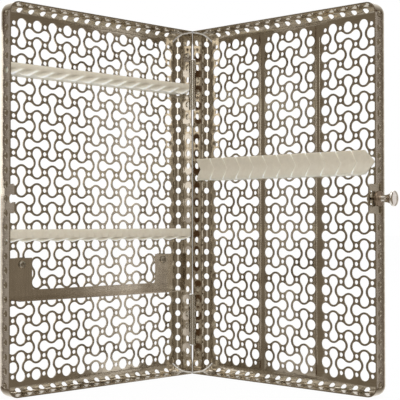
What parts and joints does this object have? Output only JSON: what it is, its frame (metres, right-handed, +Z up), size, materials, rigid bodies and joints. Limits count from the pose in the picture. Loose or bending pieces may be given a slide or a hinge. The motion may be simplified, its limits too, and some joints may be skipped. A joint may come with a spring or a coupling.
{
  "type": "perforated instrument cassette",
  "caption": "Hinged stainless steel instrument cassette with perforated trays, soft rails, an accessory bracket and a pull latch, standing open.",
  "frame": {"origin": "centre of the open cassette's bounding box, on the face it stands on", "axes": "+Z up along the hinge axis; the base tray lies along X with its inside facing -Y; the lid runs towards -Y from the hinge"},
  "size_m": [0.184, 0.1842, 0.2496],
  "materials": {
    "tray_steel": "satin electropolished stainless steel",
    "bracket_steel": "bright stainless steel sheet",
    "hinge_steel": "satin",
    "fastener_steel": "satin",
    "latch_steel": "satin",
    "polished_steel": "polished",
    "silicone": "matt, slightly translucent"
  },
  "bodies": {
    "base": {"base_tray": "tray_steel", "upper_rail": "silicone", "lower_rail": "silicone", "accessory_bracket": "bracket_steel", "bracket_screw_front": "fastener_steel", "bracket_screw_hinge": "fastener_steel", "bracket_nut_front": "fastener_steel", "bracket_nut_hinge": "fastener_steel", "upper_hinge_base_leaf": "hinge_steel", "lower_hinge_base_leaf": "hinge_steel", "upper_hinge_pin": "hinge_steel"},
    "lid": {"lid_tray": "tray_steel", "hold_down_strip": "silicone", "upper_hinge_lid_leaf": "hinge_steel", "lower_hinge_lid_leaf": "hinge_steel", "lower_hinge_pin": "hinge_steel", "latch_plate": "latch_steel", "latch_housing": "latch_steel", "latch_spring": "latch_steel"},
    "latch": {"latch_knob": "polished_steel", "latch_clip": "latch_steel"}
  },
  "joints": [
    {"name": "lid_hinge", "type": "hinge", "parent": "base", "child": "lid", "pos_m": [0.06276, 0.07518, 0], "axis": [0, 0, 1], "range_deg": [-95.5, 84.5]},
    {"name": "latch_pull", "type": "slide", "parent": "lid", "child": "latch", "axis": [0.0958, -0.9954, 0], "range_m": [0, 0.0018], "stiffness_N_per_m": 300, "springref_m": -0.002, "deforming": ["latch_spring"]}
  ]
}
